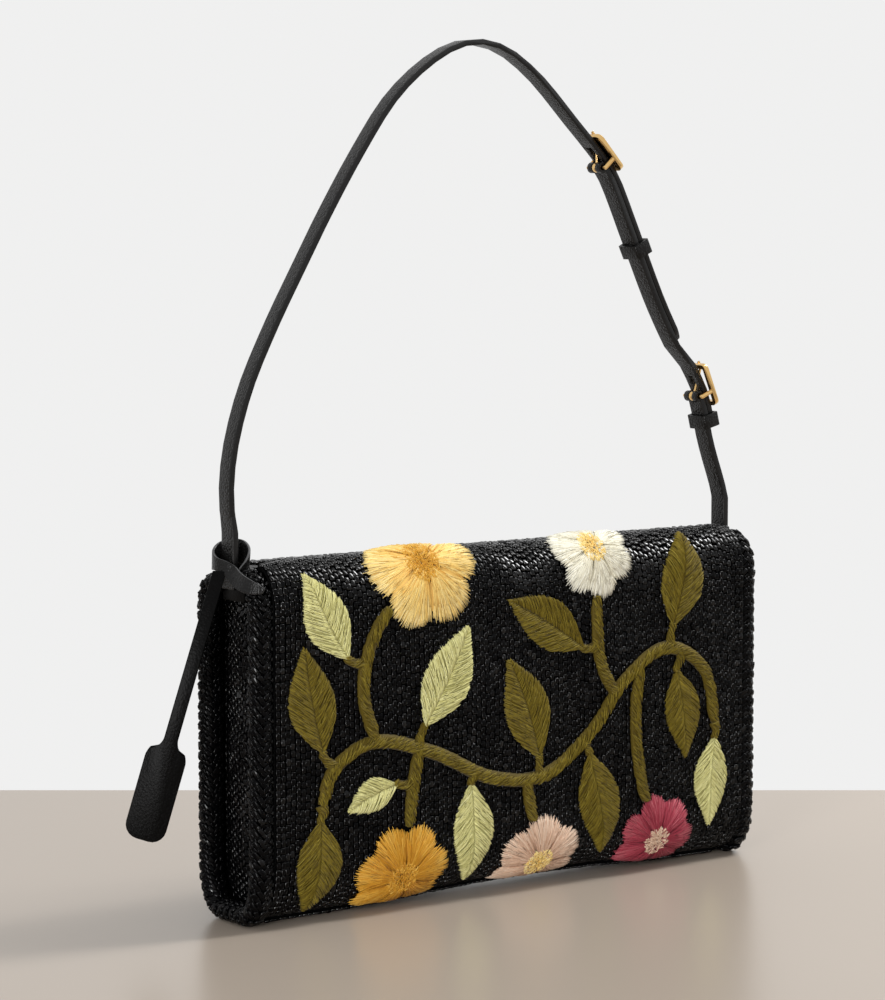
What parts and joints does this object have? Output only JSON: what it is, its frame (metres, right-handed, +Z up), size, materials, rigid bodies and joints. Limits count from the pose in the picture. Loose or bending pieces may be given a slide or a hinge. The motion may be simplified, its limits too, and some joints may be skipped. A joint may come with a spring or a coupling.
{
  "type": "beaded shoulder bag",
  "caption": "Zip-top shoulder bag of glass beads with flowering-vine embroidery, rope-beaded edges, a buckled leather strap and a hanging leather tag.",
  "frame": {"origin": "middle of the flat underside of the bag's base strip", "axes": "+X along the bag towards the buckled end of the strap, +Y towards the plain back, +Z up to the strap"},
  "size_m": [0.3061, 0.0545, 0.3648],
  "materials": {
    "black_beads": "opaque black cut glass beads sewn on cloth",
    "black_leather": "fine grain with painted edges",
    "black_cotton": "plain weave",
    "gold": "polished gold plate",
    "olive_thread": "satin stitch",
    "pale_green_thread": "satin stitch",
    "ochre_thread": "satin stitch",
    "blush_thread": "satin stitch",
    "crimson_thread": "satin stitch",
    "yellow_thread": "satin stitch",
    "ivory_thread": "satin stitch"
  },
  "bodies": {
    "bag": {"front_panel": "black_beads", "back_panel": "black_beads", "bottom_panel": "black_beads", "gusset_left": "black_beads", "gusset_right": "black_beads", "edge_roll_left": "black_beads", "edge_roll_right": "black_beads", "end_tab_left": "black_leather", "end_tab_right": "black_leather", "strap_anchor_left": "black_leather", "strap_anchor_right": "black_leather", "tag_knot": "black_leather", "lining": "black_cotton", "slip_pocket": "black_cotton", "base_stiffener": "black_cotton", "zip_end_left": "black_cotton", "zip_end_right": "black_cotton", "main_stem": "olive_thread", "stem_ochre": "olive_thread", "stem_blush": "olive_thread", "stem_crimson": "olive_thread", "stem_yellow": "olive_thread", "stem_ivory": "olive_thread", "leaf_1": "olive_thread", "leaf_4": "olive_thread", "leaf_5": "olive_thread", "leaf_6": "olive_thread", "leaf_8": "olive_thread", "leaf_9": "olive_thread", "leaf_11": "olive_thread", "leaf_2": "pale_green_thread", "leaf_3": "pale_green_thread", "leaf_7": "pale_green_thread", "leaf_10": "pale_green_thread", "leaf_12": "pale_green_thread", "flower_ochre": "ochre_thread", "flower_blush": "blush_thread", "flower_crimson": "crimson_thread", "flower_yellow": "yellow_thread", "flower_ivory": "ivory_thread"},
    "zip_front": {"zip_tape_front": "black_cotton", "zip_teeth_front": "gold"},
    "zip_back": {"zip_tape_back": "black_cotton", "zip_teeth_back": "gold"},
    "slider": {"zip_slider": "gold"},
    "puller": {"zip_puller": "black_leather"},
    "strap": {"long_strap": "black_leather", "middle_strap": "black_leather", "short_strap": "black_leather", "upper_buckle_frame": "gold", "lower_buckle_frame": "gold"},
    "upper_prong": {"upper_buckle_prong": "gold"},
    "lower_prong": {"lower_buckle_prong": "gold"},
    "upper_keeper": {"upper_keeper": "black_leather"},
    "lower_keeper": {"lower_keeper": "black_leather"},
    "tag": {"leather_tag": "black_leather"}
  },
  "joints": [
    {"name": "zip_slide", "type": "slide", "parent": "bag", "child": "slider", "axis": [-1, 0, 0], "range_m": [0, 0.1912]},
    {"name": "zip_front_parting", "type": "slide", "parent": "bag", "child": "zip_front", "axis": [0, -1, 0], "range_m": [0, 0.0058]},
    {"name": "zip_back_parting", "type": "slide", "parent": "bag", "child": "zip_back", "axis": [0, 1, 0], "range_m": [0, 0.0058]},
    {"name": "puller_hinge", "type": "hinge", "parent": "slider", "child": "puller", "pos_m": [0.0956, 0, 0.1484], "axis": [0, -1, 0], "range_deg": [0, 105]},
    {"name": "strap_swing", "type": "hinge", "parent": "bag", "child": "strap", "pos_m": [0, 0, 0.162], "axis": [1, 0, 0], "range_deg": [-75, 75]},
    {"name": "upper_prong_hinge", "type": "hinge", "parent": "strap", "child": "upper_prong", "pos_m": [0.05933, 0, 0.31086], "axis": [0, 1, 0], "range_deg": [0, 60]},
    {"name": "lower_prong_hinge", "type": "hinge", "parent": "strap", "child": "lower_prong", "pos_m": [0.11597, 0, 0.20855], "axis": [0, 1, 0], "range_deg": [0, 60]},
    {"name": "upper_keeper_slide", "type": "slide", "parent": "strap", "child": "upper_keeper", "axis": [0.4331, 0, -0.9014], "range_m": [-0.008, 0.01]},
    {"name": "lower_keeper_slide", "type": "slide", "parent": "strap", "child": "lower_keeper", "axis": [0.248, 0, -0.9687], "range_m": [0, 0.007]},
    {"name": "tag_swing", "type": "hinge", "parent": "bag", "child": "tag", "pos_m": [-0.13935, -0.00382, 0.1517], "axis": [-0.6018, -0.7986, 0], "range_deg": [-60, 15]}
  ],
  "couplings": [
    {"joint": "zip_front_parting", "follows": "zip_slide", "ratio": 0.0303},
    {"joint": "zip_back_parting", "follows": "zip_slide", "ratio": 0.0303}
  ]
}
